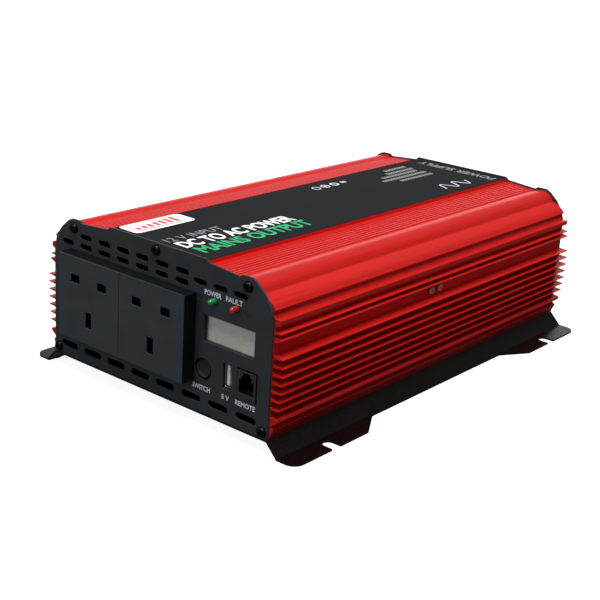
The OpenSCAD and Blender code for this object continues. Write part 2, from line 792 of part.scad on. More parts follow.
// Insulating bush, stud with its seat, and the inner nut of one terminal
module terminal_bush(x) {
  difference() {
    union() {
      rod_y(x, terminal_z, 14, rear_y, rear_y + 5);
      rod_y(x, terminal_z, 8, case_y1 - 4, rear_y);
    }
    rod_y(x, terminal_z, stud_r + running_gap, rear_y - 20, rear_y + 6);
  }
}

module terminal_negative() {
  color("#17181a") terminal_bush(terminal_x[0]);
}

module terminal_positive() {
  color("#b3201d") terminal_bush(terminal_x[1]);
}

// Threaded studs with a round seat outside and a nut inside that clamps the strap
module terminal_studs() {
  color("#c9a24a") for (x = terminal_x) {
    rod_y(x, terminal_z, stud_r, rear_y - 18, rear_y + 22);
    rod_y(x, terminal_z, 9, rear_y + 5, rear_y + stud_seat);
    hex_y(x, terminal_z, 13, rear_y - 16.8, rear_y - 11);
    rod_y(x, terminal_z, 6.5, rear_y - 9, case_y1 - 4);
  }
}

// Chassis earth bolt with a nut on each side of the rear panel
module earth_stud() {
  color("#b5b8ba") {
    rod_y(earth_x, earth_z, earth_r, case_y1 - 6, rear_y + 16);
    hex_y(earth_x, earth_z, 8, case_y1 - 4, case_y1);
    hex_y(earth_x, earth_z, 8, rear_y + 1, rear_y + 5);
    rod_y(earth_x, earth_z, 5.2, rear_y, rear_y + 1);
  }
}

// Plain washer that travels with its knob
module terminal_washer(x) {
  difference() {
    rod_y(x, terminal_z, 8.6, rear_y + stud_seat + 0.1, rear_y + stud_seat + 1.7);
    rod_y(x, terminal_z, stud_r + 0.2, rear_y, rear_y + 20);
  }
}

module washer_negative() {
  color("#b5b8ba") terminal_washer(terminal_x[0]);
}

module washer_positive() {
  color("#b5b8ba") terminal_washer(terminal_x[1]);
}

// Hand knob with a fluted rim and a blind threaded bore
module terminal_knob(x) {
  y0 = rear_y + stud_seat + 1.9;
  y1 = rear_y + terminal_proud;
  flute_count = 12;
  difference() {
    union() {
      rod_y(x, terminal_z, knob_r, y0 + 1.5, y1 - 1.2);
      cone_y(x, terminal_z, knob_r - 1, knob_r, y0, y0 + 1.5);
      cone_y(x, terminal_z, knob_r, knob_r - 1.2, y1 - 1.2, y1);
    }
    for (i = [0:flute_count - 1]) let (a = i * 360 / flute_count)
      rod_y(x + (knob_r + 0.8) * cos(a), terminal_z + (knob_r + 0.8) * sin(a), 1.7, y0 - 1, y1 + 1);
    rod_y(x, terminal_z, stud_r + running_gap, y0 - 1, rear_y + 23);
  }
}

module knob_negative() {
  color("#17181a") terminal_knob(terminal_x[0]);
}

module knob_positive() {
  color("#b3201d") terminal_knob(terminal_x[1]);
}

module socket_face_left() {
  color("#2b3033") socket_face(socket_x[0]);
}

module socket_face_right() {
  color("#2b3033") socket_face(socket_x[1]);
}

module shutter_left() {
  color("#3a3d3f") shutter(socket_x[0]);
}

module shutter_right() {
  color("#3a3d3f") shutter(socket_x[1]);
}

case_extrusion();
base_plate();
front_panel();
rear_panel();
top_label();
front_screws();
rear_screws();
base_screws();
band_screws();
socket_face_left();
socket_face_right();
socket_backs();
socket_contacts();
shutter_left();
shutter_right();
lcd_frame();
lcd_window();
lcd_display();
power_led();
fault_led();
power_button();
button_switch();
usb_shell();
usb_tongue();
remote_jack();
remote_contacts();
display_pcb();
display_screws();
display_spacers();
main_pcb();
pcb_standoffs();
pcb_screws();
transformer_cores();
transformer_windings();
input_capacitors();
bus_capacitors();
transistors();
clamp_bars();
band_transistors();
choke_core();
choke_winding();
fuses();
control_pcb();
wire_live();
wire_neutral();
wire_earth();
busbars();
fan_frame();
fan_stator();
fan_rotor();
fan_guard();
fan_screws();
terminal_negative();
terminal_positive();
terminal_studs();
earth_stud();
washer_negative();
washer_positive();
knob_negative();
knob_positive();
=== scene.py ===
"""Looks for a fan cooled power inverter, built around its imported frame.

Every measure is in metres in the frame's own axes: Z up, -Y out of the front plate, X to its right.
Copies of the frame's parts get worked edges and real finishes, and small parts are modelled new.
"""

import json
import math

import bpy
from mathutils import Matrix, Vector


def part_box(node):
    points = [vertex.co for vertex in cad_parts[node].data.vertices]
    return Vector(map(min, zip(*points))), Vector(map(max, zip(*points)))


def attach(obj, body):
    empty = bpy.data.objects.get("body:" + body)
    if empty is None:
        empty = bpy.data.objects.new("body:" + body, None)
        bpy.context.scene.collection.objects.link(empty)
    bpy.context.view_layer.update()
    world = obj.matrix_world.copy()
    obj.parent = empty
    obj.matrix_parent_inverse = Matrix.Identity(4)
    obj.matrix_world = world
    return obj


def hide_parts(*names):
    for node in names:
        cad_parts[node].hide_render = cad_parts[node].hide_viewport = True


MM = 0.001
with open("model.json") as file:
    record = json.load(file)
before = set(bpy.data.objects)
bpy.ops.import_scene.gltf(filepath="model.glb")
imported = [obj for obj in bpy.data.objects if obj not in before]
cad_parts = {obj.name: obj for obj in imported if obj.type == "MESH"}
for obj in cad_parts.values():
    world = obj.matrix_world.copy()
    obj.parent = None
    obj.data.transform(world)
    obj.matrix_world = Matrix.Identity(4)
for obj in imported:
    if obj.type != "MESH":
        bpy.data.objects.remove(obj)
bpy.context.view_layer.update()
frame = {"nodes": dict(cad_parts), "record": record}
scene = bpy.context.scene

# ---------------------------------------------------------------- places taken from the frame
FRONT_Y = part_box("front_panel")[0].y
REAR_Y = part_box("rear_panel")[1].y
LABEL_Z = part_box("top_label")[1].z
FRONT_OUT, REAR_OUT, UP, DOWN, RIGHT = (0, -1, 0), (0, 1, 0), (0, 0, 1), (0, 0, -1), (1, 0, 0)
CASE_LENGTH = 298 * MM
MERGE_GAP = 0.002 * MM


def middle_at(node, y):
    """The middle of a frame part in X and Z, at depth y."""
    low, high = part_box(node)
    return Vector(((low.x + high.x) / 2, y, (low.z + high.z) / 2))


# ---------------------------------------------------------------- camera, light and floor
def look_matrix(azimuth, elevation, roll, place):
    """Camera matrix for a view from azimuth and elevation, tipped by roll, all in degrees."""
    a, e, r = (math.radians(v) for v in (azimuth, elevation, roll))
    back = Vector((math.sin(a) * math.cos(e), -math.cos(a) * math.cos(e), math.sin(e)))
    level = Vector((math.cos(a), math.sin(a), 0))
    rise = back.cross(level)
    right = math.cos(r) * level + math.sin(r) * rise
    up = math.cos(r) * rise - math.sin(r) * level
    turn = Matrix((right, up, back)).transposed().to_4x4()
    return Matrix.Translation(place) @ turn


bpy.ops.object.camera_add()
camera = bpy.context.object
camera.data.sensor_width = 36
camera.data.lens = 72.515
camera.matrix_world = look_matrix(38.858, 19.223, 3.605, (0.44599, -0.58626, 0.28232))
scene.camera = camera
scene.view_settings.view_transform = "Standard"


def soft_box(name, place, aim, width, height, power):
    """A rectangular soft light that the camera doesn't see."""
    bpy.ops.object.light_add(type="AREA", location=place)
    lamp = bpy.context.object
    lamp.name = name
    lamp.data.shape = "RECTANGLE"
    lamp.data.size, lamp.data.size_y = width, height
    lamp.data.energy = power
    lamp.visible_camera = False
    lamp.rotation_euler = (Vector(aim) - Vector(place)).to_track_quat("-Z", "Y").to_euler()


bpy.ops.object.light_add(type="SUN", location=(0, 0, 2))
sky = bpy.context.object
sky.name = "overhead_soft_light"
sky.data.energy = 4.6
sky.data.angle = math.radians(40)
sky.rotation_euler = Vector((-0.22, 0.1, -0.95)).to_track_quat("-Z", "Y").to_euler()
soft_box("back_reflector", (-1.15, 1.45, 0.34), (0, 0, 0.09), 1.9, 0.46, 4.5)
soft_box("crest_reflector", (-0.39, 1.32, 1.2), (0.05, 0, 0.09), 1.6, 0.35, 0.8)
soft_box("front_fill", (-0.5, -1.6, 0.7), (0, 0, 0.05), 1.2, 0.9, 10)

world = bpy.data.worlds.new("studio")
world.use_nodes = True
world.node_tree.nodes["Background"].inputs["Color"].default_value = (1, 1, 1, 1)
world.node_tree.nodes["Background"].inputs["Strength"].default_value = 0.1
scene.world = world

bpy.ops.mesh.primitive_plane_add(size=400, location=(0, 0, -0.00005))
floor = bpy.context.object
floor.name = "floor"
bpy.ops.mesh.primitive_uv_sphere_add(segments=64, ring_count=32, radius=12)
backdrop = bpy.context.object
backdrop.name = "backdrop"
backdrop.visible_shadow = False
for sheet in (floor, backdrop):
    sheet.visible_diffuse = False
    sheet.visible_glossy = False


# ---------------------------------------------------------------- materials
def linear(code):
    """An sRGB hex colour as linear values."""
    parts = [int(code[i:i + 2], 16) / 255 for i in (1, 3, 5)]
    return (*(c / 12.92 if c <= 0.04045 else ((c + 0.055) / 1.055) ** 2.4 for c in parts), 1.0)


def add(tree, kind, links=None, **settings):
    """Adds a shader node with its settings; links maps an input to a value or to another node's output."""
    made = tree.nodes.new("ShaderNode" + kind)
    for key, value in settings.items():
        setattr(made, key, value)
    for key, value in (links or {}).items():
        if isinstance(value, bpy.types.NodeSocket):
            tree.links.new(value, made.inputs[key])
        else:
            made.inputs[key].default_value = value
    return made


def material(name, **sockets):
    """A new material with its shader's plain sockets set; returns it with its tree and shader."""
    made = bpy.data.materials.new(name)
    made.use_nodes = True
    shader = made.node_tree.nodes["Principled BSDF"]
    for key, value in sockets.items():
        shader.inputs[key.replace("_", " ").title().replace("Ior", "IOR")].default_value = value
    return made, made.node_tree, shader


def grained(name, dark, light, grain, depth, rough, stretch=(1, 1, 1), drift=18, bump=0.5, **sockets):
    """A finish whose gloss and skin follow one grain, in mm, while its colour drifts from dark to light.

    rough is the lowest and highest roughness, depth the height of the grain in mm, drift how many grains
    one patch of colour measures, and stretch squeezes the pattern along the axes.
    """
    made, tree, shader = material(name, **sockets)
    place = add(tree, "TexCoord")
    turn = add(tree, "Mapping", {"Vector": place.outputs["Object"], "Scale": stretch})
    fine = add(tree, "TexNoise", {"Vector": turn.outputs[0], "Scale": 1 / (grain * MM), "Detail": 3.0})
    broad = add(tree, "TexNoise", {"Vector": turn.outputs[0], "Scale": 1 / (grain * drift * MM),
                                   "Detail": 2.0})
    blend = add(tree, "Math", {0: fine.outputs[0], 1: broad.outputs[0]}, operation="ADD")
    span = add(tree, "MapRange", {"Value": blend.outputs[0], "From Min": 0.7, "From Max": 1.3})
    colour = add(tree, "Mix", {0: span.outputs[0], 6: linear(dark), 7: linear(light)}, data_type="RGBA")
    gloss = add(tree, "MapRange", {"Value": fine.outputs[0], "From Min": 0.3, "From Max": 0.7,
                                   "To Min": rough[0], "To Max": rough[1]})
    dent = add(tree, "Bump", {"Strength": bump, "Distance": depth * MM, "Height": fine.outputs[0]})
    tree.links.new(colour.outputs[2], shader.inputs["Base Color"])
    tree.links.new(gloss.outputs[0], shader.inputs["Roughness"])
    tree.links.new(dent.outputs[0], shader.inputs["Normal"])
    return made


# Extruded aluminium under red lacquer: die lines run the length of the case, so the gloss is streaked
# along Y. Real die lines are 0.1 mm apart, and they are drawn 0.7 mm apart to show at all.
RED_LACQUER = grained("red_lacquered_aluminium", "#ca1c17", "#da231e", 0.7, 0.012, (0.34, 0.42),
                      stretch=(1, 0.012, 1), bump=0.2, metallic=0.4, specular_ior_level=0.4)
# Inside of the case: near black and dull, with a faint drift of tone; painted shade for the walls and
# ceiling inside the extrusion.
CASE_INSIDE_SHADE = grained("painted_inner_shade", "#0a0707", "#110b0b", 1.5, 0.01, (0.6, 0.75),
                      stretch=(1, 0.05, 1), specular_ior_level=0.1)
# Powder coat on folded steel: near black, with the soft orange peel of baked powder, 1.4 mm across.
BLACK_POWDER = grained("black_powder_coat", "#030201", "#060403", 1.4, 0.012, (0.26, 0.34),
                       bump=0.25, specular_ior_level=0.35)
# Fine texture powder coat: slate black with a sandy skin that takes the shine off.
SLATE_POWDER = grained("slate_texture_powder_coat", "#22282c", "#2a3135", 0.8, 0.03, (0.5, 0.62),
                        specular_ior_level=0.35)
# Satin printed vinyl: even dark grey with a slight haze and almost no grain.
LABEL_VINYL = grained("satin_printed_vinyl", "#1f2021", "#222324", 1.6, 0.006, (0.62, 0.68), drift=30,
                      bump=0.2, specular_ior_level=0.008)
# Spark eroded ABS: the socket fronts, a little smoother and bluer than the plate around them.
SOCKET_ABS = grained("slate_moulded_abs", "#2b3237", "#333a3f", 0.9, 0.02, (0.45, 0.55),
                     specular_ior_level=0.35)
# Polished black for the socket modules' sides and the button's rim, which hold almost no light; on the
# jack's faces behind the plate front the same black is painted shade in the gap around the jack.
BLACK_SIDES_AND_GAP_SHADE = grained("black_sides_and_gap_shade", "#020202", "#050505", 0.9, 0.01, (0.5, 0.6),
                      specular_ior_level=0.2)
# Moulded black ABS inside the case: dull and slightly uneven.
BLACK_ABS = grained("black_abs", "#050606", "#0a0b0b", 1.0, 0.02, (0.45, 0.6), specular_ior_level=0.3)
# Nylon shutter: dark, faintly green and waxy.
NYLON = grained("dark_nylon", "#10160f", "#1b2419", 1.2, 0.02, (0.38, 0.5), subsurface_weight=0.05)
# Zinc plated and blackened steel: dark metal whose highlights break on the plating.
BLACK_ZINC = grained("black_zinc_steel", "#131416", "#202225", 0.6, 0.01, (0.22, 0.36), metallic=0.85)
# Screw heads painted with the plate: slate, a little glossier than the powder coat.
PAINTED_STEEL = grained("slate_painted_steel", "#1c2124", "#23292c", 0.7, 0.01, (0.4, 0.5))
# Black solder mask of the display board: satin, with the weave of the board just showing.
BLACK_MASK = grained("black_solder_mask", "#060707", "#0b0c0c", 0.8, 0.01, (0.35, 0.5),
                     specular_ior_level=0.2)
# Bright zinc plate: grey steel with a warm yellow cast from its passivation.
BRIGHT_ZINC = grained("bright_zinc_steel", "#b9b39c", "#dad5c2", 0.7, 0.01, (0.2, 0.36), metallic=1.0)
# Pressed brass: warm metal with a dull oxidised drift.
BRASS = grained("pressed_brass", "#b08a3c", "#d8b462", 1.1, 0.01, (0.24, 0.4), metallic=1.0)
# Bright nickel plate on steel: nearly white metal, the plating slightly rippled.
NICKEL = grained("bright_nickel_plate", "#a9abad", "#c9cbcd", 1.3, 0.01, (0.14, 0.26), metallic=1.0)
# White nylon insulator, moulded and slightly translucent.
WHITE_NYLON = grained("white_nylon", "#d6d6d2", "#e9e9e6", 1.0, 0.01, (0.35, 0.48),
                      subsurface_weight=0.1)
# Gold flash on phosphor bronze springs.
GOLD_FLASH = grained("gold_flash", "#8a6a28", "#b08a42", 0.6, 0.005, (0.2, 0.32), metallic=1.0)
# Jack body: the same slate black as the plate, moulded with a fine grain.
JACK_ABS = grained("slate_jack_abs", "#1d2326", "#252c2f", 0.7, 0.015, (0.45, 0.55))
# Push button: black ABS polished by the mould, with a soft gloss.
BUTTON_ABS = grained("satin_button_abs", "#20262a", "#272d31", 0.9, 0.01, (0.36, 0.46))
# Glass filled nylon: the fan's frame and blades, greyish black with flow marks.
GLASS_NYLON = grained("glass_filled_nylon", "#131415", "#1e2022", 1.6, 0.02, (0.4, 0.56))
# Phenolic mouldings of the terminals, glossy from the press.
BLACK_PHENOLIC = grained("black_phenolic", "#121213", "#1b1b1d", 1.1, 0.01, (0.24, 0.36))
RED_PHENOLIC = grained("red_phenolic", "#9c1512", "#b8201a", 1.1, 0.01, (0.24, 0.36))
# Sintered ferrite: dark grey ceramic with a pitted skin.
FERRITE = grained("sintered_ferrite", "#2b2c2e", "#3c3e40", 0.9, 0.05, (0.5, 0.68))
# Polyester tape wound over copper: amber yellow, glossy, with the turns showing as ridges along Z.
WINDING_TAPE = grained("polyester_winding_tape", "#b98e18", "#dab030", 0.9, 0.06, (0.2, 0.36),
                       stretch=(0.05, 0.05, 1))
# Shrink sleeve of a capacitor: dark blue black PVC, shiny and tight.
SLEEVE = grained("capacitor_shrink_sleeve", "#161b2b", "#222a3e", 1.4, 0.01, (0.24, 0.34))
# Moulded epoxy of a transistor: black and dull, with a sandy grain.
EPOXY = grained("moulded_epoxy", "#121213", "#1d1d1f", 0.5, 0.02, (0.5, 0.65))
# Sawn aluminium bar: long scratches along Y from the mill.
MILLED_BAR = grained("milled_aluminium", "#9b9ea1", "#c0c3c5", 0.5, 0.02, (0.28, 0.45),
                     stretch=(1, 0.02, 1), metallic=1.0)
# Enamelled copper: orange metal under clear varnish.
COPPER = grained("enamelled_copper", "#9c5426", "#c9763a", 0.8, 0.03, (0.22, 0.38), metallic=1.0)
# Transparent amber fuse body, drawn opaque with a deep orange tone.
FUSE_BODY = grained("amber_polycarbonate", "#b7681a", "#dc8e2c", 1.2, 0.01, (0.2, 0.3))
# Wire insulation: soft PVC with a dull shine, in the three mains colours.
BROWN_PVC = grained("brown_pvc", "#5c3a22", "#70482c", 1.0, 0.01, (0.4, 0.5))
BLUE_PVC = grained("blue_pvc", "#25509a", "#2f62b4", 1.0, 0.01, (0.4, 0.5))
GREEN_PVC = grained("green_pvc", "#4a8c30", "#63a83e", 1.0, 0.01, (0.4, 0.5))
# Clear epoxy lamps, tinted through, with a little light inside.
GREEN_LAMP = grained("green_tinted_epoxy", "#146a28", "#1f8a3a", 1.2, 0.004, (0.08, 0.16),
                     coat_weight=0.6, coat_roughness=0.05, emission_color=linear("#1f8a38"),
                     emission_strength=0.08)
RED_LAMP = grained("red_tinted_epoxy", "#8c1512", "#ac201c", 1.2, 0.004, (0.08, 0.16),
                   coat_weight=0.6, coat_roughness=0.05, emission_color=linear("#9c1a16"),
                   emission_strength=0.12)
# Printing inks: flat pad print with a faint unevenness of coverage.
WHITE_INK = grained("white_print_ink", "#e4e4e4", "#f6f6f6", 0.8, 0.004, (0.45, 0.55))
LEGEND_INK = grained("pale_grey_print_ink", "#c3c7d6", "#d6dae6", 0.8, 0.004, (0.45, 0.55))
GREY_INK = grained("grey_print_ink", "#77797c", "#8c8e91", 0.8, 0.004, (0.45, 0.55))
GREEN_INK = grained("green_print_ink", "#00955f", "#07ab70", 0.8, 0.004, (0.45, 0.55))
RED_INK = grained("red_print_ink", "#c91f22", "#dc3133", 0.8, 0.004, (0.45, 0.55))
BLUE_INK = grained("blue_print_ink", "#1e6fb4", "#2c84cb", 0.8, 0.004, (0.45, 0.55))
# Liquid crystal glass at rest: a grey green polariser with a soft sheen and a slow drift of tone.
LCD_GLASS = grained("liquid_crystal_glass", "#bcc2b7", "#cad0c5", 1.5, 0.004, (0.3, 0.36), drift=12)


def clear_acrylic():
    """Clear acrylic: see-through, with only its sharp gloss and the faintest grey to give it away."""
    made, tree, shader = material("clear_acrylic", alpha=0.1, ior=1.49)
    place = add(tree, "TexCoord")
    haze = add(tree, "TexNoise", {"Vector": place.outputs["Object"], "Scale": 400.0, "Detail": 2.0})
    gloss = add(tree, "MapRange", {"Value": haze.outputs[0], "To Min": 0.04, "To Max": 0.12})
    tone = add(tree, "Mix", {0: haze.outputs[0], 6: linear("#b4bab5"), 7: linear("#cfd4d0")},
               data_type="RGBA")
    tree.links.new(gloss.outputs[0], shader.inputs["Roughness"])
    tree.links.new(tone.outputs[2], shader.inputs["Base Color"])
    return made


def circuit_board():
    """Green solder mask over copper: tracks show as lighter square runs, 2.5 mm apart."""
    made, tree, shader = material("solder_mask_board")
    place = add(tree, "TexCoord")
    tracks = add(tree, "TexBrick", {"Vector": place.outputs["Object"], "Color1": linear("#14492a"),
                                    "Color2": linear("#1b5a34"), "Mortar": linear("#2f7a4a"),
                                    "Scale": 1.0, "Mortar Size": 0.0004, "Brick Width": 0.012,
                                    "Row Height": 0.0025})
    grain = add(tree, "TexNoise", {"Vector": place.outputs["Object"], "Scale": 900.0, "Detail": 2.0})
    gloss = add(tree, "MapRange", {"Value": grain.outputs[0], "To Min": 0.25, "To Max": 0.4})
    dent = add(tree, "Bump", {"Strength": 0.3, "Distance": 0.00003, "Height": tracks.outputs["Fac"]})
    tree.links.new(tracks.outputs["Color"], shader.inputs["Base Color"])
    tree.links.new(gloss.outputs[0], shader.inputs["Roughness"])
    tree.links.new(dent.outputs[0], shader.inputs["Normal"])
    return made


def studio_floor():
    """Matt white paper sweep lit from behind, with the faintest mottling."""
    made, tree, shader = material("white_paper_sweep", roughness=0.9, emission_color=linear("#ffffff"),
                                  emission_strength=0.9)
    place = add(tree, "TexCoord")
    mottle = add(tree, "TexNoise", {"Vector": place.outputs["Object"], "Scale": 6.0, "Detail": 2.0})
    tone = add(tree, "Mix", {0: mottle.outputs[0], 6: linear("#8f8f8f"), 7: linear("#959595")},
               data_type="RGBA")
    tree.links.new(tone.outputs[2], shader.inputs["Base Color"])
    return made


ACRYLIC = clear_acrylic()
BOARD = circuit_board()
paper = studio_floor()
for sheet in (floor, backdrop):
    sheet.data.materials.append(paper)


# ---------------------------------------------------------------- modelling helpers
def only(piece):
    """Selects one piece alone and makes it active."""
    bpy.ops.object.select_all(action="DESELECT")
    piece.select_set(True)
    bpy.context.view_layer.objects.active = piece


def apply_modifier(piece, kind, **settings):
    """Adds one modifier with its settings and applies it."""
    only(piece)
    made = piece.modifiers.new(kind.lower(), kind)
    for key, value in settings.items():
        setattr(made, key, value)
    bpy.ops.object.modifier_apply(modifier=made.name)


def finished(piece, name, body, finish, smooth=35):
    """Names a piece, settles its place in its mesh, smooths it, gives it its finish and its body."""
    only(piece)
    bpy.ops.object.transform_apply(location=True, rotation=True, scale=True)
    bpy.ops.object.shade_smooth_by_angle(angle=math.radians(smooth))
    apply_modifier(piece, "WEIGHTED_NORMAL", mode="FACE_AREA", keep_sharp=True)
    piece.name = name
    piece.data.materials.clear()
    piece.data.materials.append(finish)
    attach(piece, body)
    return piece


BODY_OF = {n: body for body, names in frame["record"]["behaviour"]["bodies"].items() for n in names}


def worked(node, name, finish, edge, segments=2, smooth=35):
    """A copy of a frame part with merged faces and rounded edges, edge mm wide, that stands for it."""
    mesh = frame["nodes"][node].data.copy()
    piece = bpy.data.objects.new(name, mesh)
    scene.collection.objects.link(piece)
    only(piece)
    bpy.ops.object.mode_set(mode="EDIT")
    bpy.ops.mesh.select_all(action="SELECT")
    bpy.ops.mesh.remove_doubles(threshold=MERGE_GAP)
    bpy.ops.mesh.dissolve_limited(angle_limit=math.radians(0.4))
    bpy.ops.object.mode_set(mode="OBJECT")
    if edge:
        apply_modifier(piece, "BEVEL", width=edge * MM, segments=segments, limit_method="ANGLE",
                       angle_limit=math.radians(40))
    finished(piece, name, BODY_OF[node], finish, smooth)
    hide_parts(node)
    return piece


WORKED = [
    ("case_extrusion", "finned_case", RED_LACQUER, 0.12, 2),
    ("base_plate", "folded_base", BLACK_POWDER, 0.3, 2),
    ("front_panel", "front_plate", SLATE_POWDER, 0.2, 2),
    ("rear_panel", "rear_plate", SLATE_POWDER, 0.2, 2),
    ("top_label", "label_plate", LABEL_VINYL, 0.1, 2),
    ("socket_backs", "socket_housings", BLACK_ABS, 0.5, 2),
    ("socket_contacts", "pin_sleeves", BRASS, 0.15, 2),
    ("shutter_left", "left_shutter_slide", NYLON, 0.4, 2),
    ("shutter_right", "right_shutter_slide", NYLON, 0.4, 2),
    ("lcd_frame", "display_bezel", BLACK_ABS, 0.3, 2),
    ("lcd_window", "display_window", ACRYLIC, 0.15, 2),
    ("lcd_display", "display_glass", LCD_GLASS, 0.15, 2),
    ("power_led", "green_lamp", GREEN_LAMP, 0.1, 2),
    ("fault_led", "red_lamp", RED_LAMP, 0.1, 2),
    ("button_switch", "tact_switch", BLACK_ABS, 0.4, 2),
    ("usb_shell", "port_shell", NICKEL, 0.12, 2),
    ("usb_tongue", "port_tongue", WHITE_NYLON, 0.2, 2),
    ("remote_jack", "jack_body", JACK_ABS, 0.2, 2),
    ("remote_contacts", "jack_springs", GOLD_FLASH, 0.08, 2),
    ("display_pcb", "display_board", BLACK_MASK, 0.1, 1),
    ("display_screws", "display_board_screws", PAINTED_STEEL, 0.15, 2),
    ("display_spacers", "display_board_spacers", BRIGHT_ZINC, 0.2, 2),
    ("main_pcb", "main_board", BOARD, 0.1, 1),
    ("pcb_standoffs", "board_standoffs", BRASS, 0.25, 2),
    ("pcb_screws", "board_screws", BRIGHT_ZINC, 0.4, 3),
    ("transformer_cores", "ferrite_cores", FERRITE, 0.6, 2),
    ("transformer_windings", "taped_windings", WINDING_TAPE, 0.5, 2),
    ("input_capacitors", "input_cans", SLEEVE, 0.8, 3),
    ("bus_capacitors", "bus_cans", SLEEVE, 0.8, 3),
    ("transistors", "wall_transistors", EPOXY, 0.12, 1),
    ("clamp_bars", "transistor_clamps", MILLED_BAR, 0.3, 2),
    ("band_transistors", "sensor_packages", EPOXY, 0.2, 2),
    ("choke_core", "choke_ring", FERRITE, 0, 1),
    ("choke_winding", "choke_coil", COPPER, 0, 1),
    ("fuses", "blade_fuses", FUSE_BODY, 0.4, 2),
    ("control_pcb", "control_board", BOARD, 0.1, 1),
    ("wire_live", "live_leads", BROWN_PVC, 0.2, 2),
    ("wire_neutral", "neutral_leads", BLUE_PVC, 0.2, 2),
    ("wire_earth", "earth_leads", GREEN_PVC, 0.2, 2),
    ("busbars", "copper_straps", COPPER, 0.3, 2),
    ("fan_frame", "fan_housing", GLASS_NYLON, 0.5, 2),
    ("fan_stator", "stator_coils", COPPER, 0.5, 2),
    ("fan_guard", "wire_guard", NICKEL, 0, 1),
    ("terminal_negative", "negative_bush", BLACK_PHENOLIC, 0.8, 3),
    ("terminal_positive", "positive_bush", RED_PHENOLIC, 0.8, 3),
    ("washer_negative", "negative_washer", BRIGHT_ZINC, 0.3, 2),
    ("washer_positive", "positive_washer", BRIGHT_ZINC, 0.3, 2),
    ("knob_negative", "negative_knob", BLACK_PHENOLIC, 0.4, 2),
    ("knob_positive", "positive_knob", RED_PHENOLIC, 0.4, 2),
]
for row in WORKED:
    worked(*row)



def second_finish(piece, finish, chosen):
    """Gives the faces that chosen picks a second finish."""
    piece.data.materials.append(finish)
    for face in piece.data.polygons:
        if chosen(face):
            face.material_index = 1


INNER_HALF_WIDTH, INNER_FLOOR = 81.6 * MM, 9.2 * MM
PLATFORM_HALF_WIDTH, PLATFORM_CEILING, SHOULDER_CEILING = 36 * MM, 91.8 * MM, 88.6 * MM
CASE_AXIS_Z = 50 * MM


def inside_case(face):
    """True for the walls and ceiling inside the extrusion, without its sawn ends."""
    centre, normal = face.center, face.normal
    ceiling = PLATFORM_CEILING if abs(centre.x) < PLATFORM_HALF_WIDTH else SHOULDER_CEILING
    inward = centre.x * normal.x + (centre.z - CASE_AXIS_Z) * normal.z < 0
    return (inward and abs(normal.y) < 0.5 and abs(centre.x) < INNER_HALF_WIDTH
            and INNER_FLOOR < centre.z < ceiling)


def behind(y):
    """Picks the faces behind depth y that don't face the front."""
    return lambda face: face.normal.y > -0.5 and face.center.y > y


# The walls and ceiling inside the case get the near-black finish: painted shade inside the extrusion.
second_finish(bpy.data.objects["finned_case"], CASE_INSIDE_SHADE, inside_case)
# The jack's faces behind the plate front are painted shade: near black in the gap around the jack.
second_finish(bpy.data.objects["jack_body"], BLACK_SIDES_AND_GAP_SHADE, behind(FRONT_Y + 0.4 * MM))
for side in ("left", "right"):
    module = worked("socket_face_" + side, side + "_socket_module", SOCKET_ABS, 0.35, 3)
    second_finish(module, BLACK_SIDES_AND_GAP_SHADE, behind(FRONT_Y - 8.9 * MM))


# ---------------------------------------------------------------- pan head screws
def pan_head(radius, height, shank, length, cross):
    """A pan head screw along +Z: rounded head from 0 to height, cross recess, shank down to -length."""
    bpy.ops.mesh.primitive_cylinder_add(vertices=40, radius=radius, depth=height,
                                        location=(0, 0, height / 2))
    screw = bpy.context.object
    only(screw)
    bpy.ops.object.transform_apply(location=True)
    bpy.ops.object.mode_set(mode="EDIT")
    bpy.ops.mesh.select_all(action="DESELECT")
    bpy.ops.object.mode_set(mode="OBJECT")
    for edge in screw.data.edges:
        edge.select = all(screw.data.vertices[v].co.z > height * 0.9 for v in edge.vertices)
    bpy.ops.object.mode_set(mode="EDIT")
    bpy.ops.mesh.bevel(offset=height * 0.75, segments=6, profile=0.6)
    bpy.ops.object.mode_set(mode="OBJECT")
    cutters = []
    for turn in (0, 90):
        bpy.ops.mesh.primitive_cube_add(size=1, location=(0, 0, height))
        blade = bpy.context.object
        blade.scale = (cross * 2, cross * 0.42, height * 1.2)
        blade.rotation_euler = (0, 0, math.radians(turn))
        only(blade)
        bpy.ops.object.transform_apply(location=True, rotation=True, scale=True)
        bpy.ops.object.mode_set(mode="EDIT")
        bpy.ops.mesh.select_all(action="DESELECT")
        bpy.ops.object.mode_set(mode="OBJECT")
        for face in blade.data.polygons:
            face.select = face.normal.z < -0.9
        bpy.ops.object.mode_set(mode="EDIT")
        bpy.ops.transform.resize(value=(0.55, 0.55, 1), center_override=(0, 0, 0))
        bpy.ops.object.mode_set(mode="OBJECT")
        cutters.append(blade)
    for blade in cutters:
        apply_modifier(screw, "BOOLEAN", operation="DIFFERENCE", object=blade, solver="EXACT")
        bpy.data.objects.remove(blade)
    bpy.ops.mesh.primitive_cylinder_add(vertices=24, radius=shank, depth=length,
                                        location=(0, 0, -length / 2))
    stem = bpy.context.object
    only(stem)
    bpy.ops.object.transform_apply(location=True)
    bpy.ops.object.mode_set(mode="EDIT")
    bpy.ops.mesh.select_all(action="DESELECT")
    bpy.ops.object.mode_set(mode="OBJECT")
    for face in stem.data.polygons:
        face.select = face.normal.z < -0.9
    bpy.ops.object.mode_set(mode="EDIT")
    bpy.ops.mesh.inset(thickness=shank * 0.3, depth=shank * 0.3)
    bpy.ops.object.mode_set(mode="OBJECT")
    bpy.ops.object.select_all(action="DESELECT")
    stem.select_set(True)
    screw.select_set(True)
    bpy.context.view_layer.objects.active = screw
    bpy.ops.object.join()
    return screw


